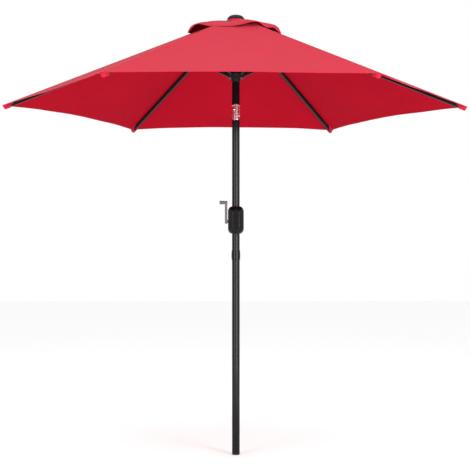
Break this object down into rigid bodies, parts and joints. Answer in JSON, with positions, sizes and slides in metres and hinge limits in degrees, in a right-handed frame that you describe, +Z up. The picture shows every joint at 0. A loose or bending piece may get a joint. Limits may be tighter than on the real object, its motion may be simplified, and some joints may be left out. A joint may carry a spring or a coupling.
{
  "type": "patio umbrella",
  "caption": "Patio umbrella with a vented red canopy on folding ribs, a crank lift, a push-button tilt joint and a slim black pole, without its base.",
  "frame": {"origin": "centre of the pole's foot, at the underside of the foot cap", "axes": "+Z up along the pole, -Y to the front, +X to the right seen from the front; the crank handle is on the -X side and rib 1 points along +X"},
  "size_m": [2.29, 1.9832, 2.157],
  "materials": {
    "pole_black": "gloss powder coat",
    "steel_black": "satin powder coat",
    "plastic_gloss_black": "moulded gloss",
    "plastic_matte_black": "fine texture",
    "plastic_grey": "satin",
    "chromed": "polished",
    "button_chrome": "polished",
    "steel_bright": "zinc plated",
    "canopy_red": "plain-weave polyester",
    "cord": "braided polyester"
  },
  "bodies": {
    "stand": {"lower_pole": "pole_black", "foot_cap": "plastic_matte_black", "pole_coupler": "steel_black", "coupler_collar": "plastic_gloss_black", "middle_pole": "pole_black", "crank_housing_front": "plastic_gloss_black", "crank_housing_rear": "plastic_gloss_black", "housing_screws": "steel_bright", "shaft_bushes": "plastic_matte_black", "brake_spring": "steel_bright", "tilt_lower_knuckle": "chromed", "tilt_pin": "chromed", "button_spring": "steel_bright", "lift_cord_lower": "cord"},
    "crank": {"crank_shaft": "steel_bright", "cord_spool": "plastic_grey", "cord_winding": "cord", "crank_arm": "plastic_grey", "arm_screw": "steel_bright", "knob_pin": "steel_bright"},
    "knob": {"crank_knob": "plastic_grey"},
    "button": {"tilt_button": "button_chrome"},
    "head": {"tilt_upper_knuckle": "chromed", "upper_pole": "pole_black", "top_hub": "plastic_matte_black", "hub_cap": "plastic_matte_black", "rib_pins": "steel_bright", "pulley_pin": "steel_bright", "finial_stud": "steel_bright", "vent_cap": "canopy_red", "lift_cord_upper": "cord"},
    "pulley": {"cord_pulley": "plastic_grey"},
    "finial_cap": {"finial": "plastic_gloss_black"},
    "runner_slide": {"runner": "plastic_matte_black", "runner_ring": "steel_black", "strut_pins": "steel_bright"},
    "rib_arm_1": {"rib_1": "steel_black", "rib_tip_1": "plastic_matte_black", "canopy_section_1": "canopy_red"},
    "strut_arm_1": {"strut_1": "steel_black"},
    "rib_arm_2": {"rib_2": "steel_black", "rib_tip_2": "plastic_matte_black", "canopy_section_2": "canopy_red"},
    "strut_arm_2": {"strut_2": "steel_black"},
    "rib_arm_3": {"rib_3": "steel_black", "rib_tip_3": "plastic_matte_black", "canopy_section_3": "canopy_red"},
    "strut_arm_3": {"strut_3": "steel_black"},
    "rib_arm_4": {"rib_4": "steel_black", "rib_tip_4": "plastic_matte_black", "canopy_section_4": "canopy_red"},
    "strut_arm_4": {"strut_4": "steel_black"},
    "rib_arm_5": {"rib_5": "steel_black", "rib_tip_5": "plastic_matte_black", "canopy_section_5": "canopy_red"},
    "strut_arm_5": {"strut_5": "steel_black"},
    "rib_arm_6": {"rib_6": "steel_black", "rib_tip_6": "plastic_matte_black", "canopy_section_6": "canopy_red"},
    "strut_arm_6": {"strut_6": "steel_black"}
  },
  "joints": [
    {"name": "canopy_tilt", "type": "hinge", "parent": "stand", "child": "head", "pos_m": [0, 0, 1.662], "axis": [-0.5, -0.866, 0], "range_deg": [-30, 0], "deforming": ["lift_cord_lower", "lift_cord_upper"]},
    {"name": "tilt_button_press", "type": "slide", "parent": "stand", "child": "button", "axis": [0.5, 0.866, 0], "range_m": [0, 0.0016], "stiffness_N_per_m": 900, "springref_m": -0.001, "deforming": ["button_spring"]},
    {"name": "crank_turn", "type": "hinge", "parent": "stand", "child": "crank", "pos_m": [0, 0, 1.138], "axis": [1, 0, 0], "range_deg": [0, 2160]},
    {"name": "knob_spin", "type": "hinge", "parent": "crank", "child": "knob", "pos_m": [-0.0673, 0, 1.231], "axis": [1, 0, 0], "continuous": true},
    {"name": "pulley_turn", "type": "hinge", "parent": "head", "child": "pulley", "pos_m": [-0.01472, 0.0085, 2.104], "axis": [-0.5, -0.866, 0], "range_deg": [0, 2480]},
    {"name": "finial_turn", "type": "hinge", "parent": "head", "child": "finial_cap", "pos_m": [0, 0, 2.1343], "axis": [0, 0, 1], "continuous": true},
    {"name": "canopy_fold", "type": "hinge", "parent": "head", "child": "rib_arm_1", "pos_m": [0.034, 0, 2.125], "axis": [0, 1, 0], "range_deg": [0, 64.8], "deforming": ["canopy_section_1", "vent_cap"]},
    {"name": "strut_1_swing", "type": "hinge", "parent": "rib_arm_1", "child": "strut_arm_1", "pos_m": [0.33365, 0, 1.99054], "axis": [0, 1, 0], "range_deg": [-129.6, 0]},
    {"name": "rib_2_fold", "type": "hinge", "parent": "head", "child": "rib_arm_2", "pos_m": [0.017, 0.02944, 2.125], "axis": [-0.866, 0.5, 0], "range_deg": [0, 64.8], "deforming": ["canopy_section_2"]},
    {"name": "strut_2_swing", "type": "hinge", "parent": "rib_arm_2", "child": "strut_arm_2", "pos_m": [0.16683, 0.28895, 1.99054], "axis": [-0.866, 0.5, 0], "range_deg": [-129.6, 0]},
    {"name": "rib_3_fold", "type": "hinge", "parent": "head", "child": "rib_arm_3", "pos_m": [-0.017, 0.02944, 2.125], "axis": [-0.866, -0.5, 0], "range_deg": [0, 64.8], "deforming": ["canopy_section_3"]},
    {"name": "strut_3_swing", "type": "hinge", "parent": "rib_arm_3", "child": "strut_arm_3", "pos_m": [-0.16683, 0.28895, 1.99054], "axis": [-0.866, -0.5, 0], "range_deg": [-129.6, 0]},
    {"name": "rib_4_fold", "type": "hinge", "parent": "head", "child": "rib_arm_4", "pos_m": [-0.034, 0, 2.125], "axis": [0, -1, 0], "range_deg": [0, 64.8], "deforming": ["canopy_section_4"]},
    {"name": "strut_4_swing", "type": "hinge", "parent": "rib_arm_4", "child": "strut_arm_4", "pos_m": [-0.33365, 0, 1.99054], "axis": [0, -1, 0], "range_deg": [-129.6, 0]},
    {"name": "rib_5_fold", "type": "hinge", "parent": "head", "child": "rib_arm_5", "pos_m": [-0.017, -0.02944, 2.125], "axis": [0.866, -0.5, 0], "range_deg": [0, 64.8], "deforming": ["canopy_section_5"]},
    {"name": "strut_5_swing", "type": "hinge", "parent": "rib_arm_5", "child": "strut_arm_5", "pos_m": [-0.16683, -0.28895, 1.99054], "axis": [0.866, -0.5, 0], "range_deg": [-129.6, 0]},
    {"name": "rib_6_fold", "type": "hinge", "parent": "head", "child": "rib_arm_6", "pos_m": [0.017, -0.02944, 2.125], "axis": [0.866, 0.5, 0], "range_deg": [0, 64.8], "deforming": ["canopy_section_6"]},
    {"name": "strut_6_swing", "type": "hinge", "parent": "rib_arm_6", "child": "strut_arm_6", "pos_m": [0.16683, -0.28895, 1.99054], "axis": [0.866, 0.5, 0], "range_deg": [-129.6, 0]},
    {"name": "runner_travel", "type": "hinge", "parent": "strut_arm_1", "child": "runner_slide", "pos_m": [0.034, 0, 1.85608], "axis": [0, 1, 0], "range_deg": [0, 64.8]}
  ],
  "couplings": [
    {"joint": "strut_1_swing", "follows": "canopy_fold", "ratio": -2},
    {"joint": "rib_2_fold", "follows": "canopy_fold", "ratio": 1},
    {"joint": "strut_2_swing", "follows": "canopy_fold", "ratio": -2},
    {"joint": "rib_3_fold", "follows": "canopy_fold", "ratio": 1},
    {"joint": "strut_3_swing", "follows": "canopy_fold", "ratio": -2},
    {"joint": "rib_4_fold", "follows": "canopy_fold", "ratio": 1},
    {"joint": "strut_4_swing", "follows": "canopy_fold", "ratio": -2},
    {"joint": "rib_5_fold", "follows": "canopy_fold", "ratio": 1},
    {"joint": "strut_5_swing", "follows": "canopy_fold", "ratio": -2},
    {"joint": "rib_6_fold", "follows": "canopy_fold", "ratio": 1},
    {"joint": "strut_6_swing", "follows": "canopy_fold", "ratio": -2},
    {"joint": "runner_travel", "follows": "canopy_fold", "ratio": 1},
    {"joint": "crank_turn", "follows": "canopy_fold", "ratio": 33.333},
    {"joint": "pulley_turn", "follows": "canopy_fold", "ratio": 38.1}
  ]
}
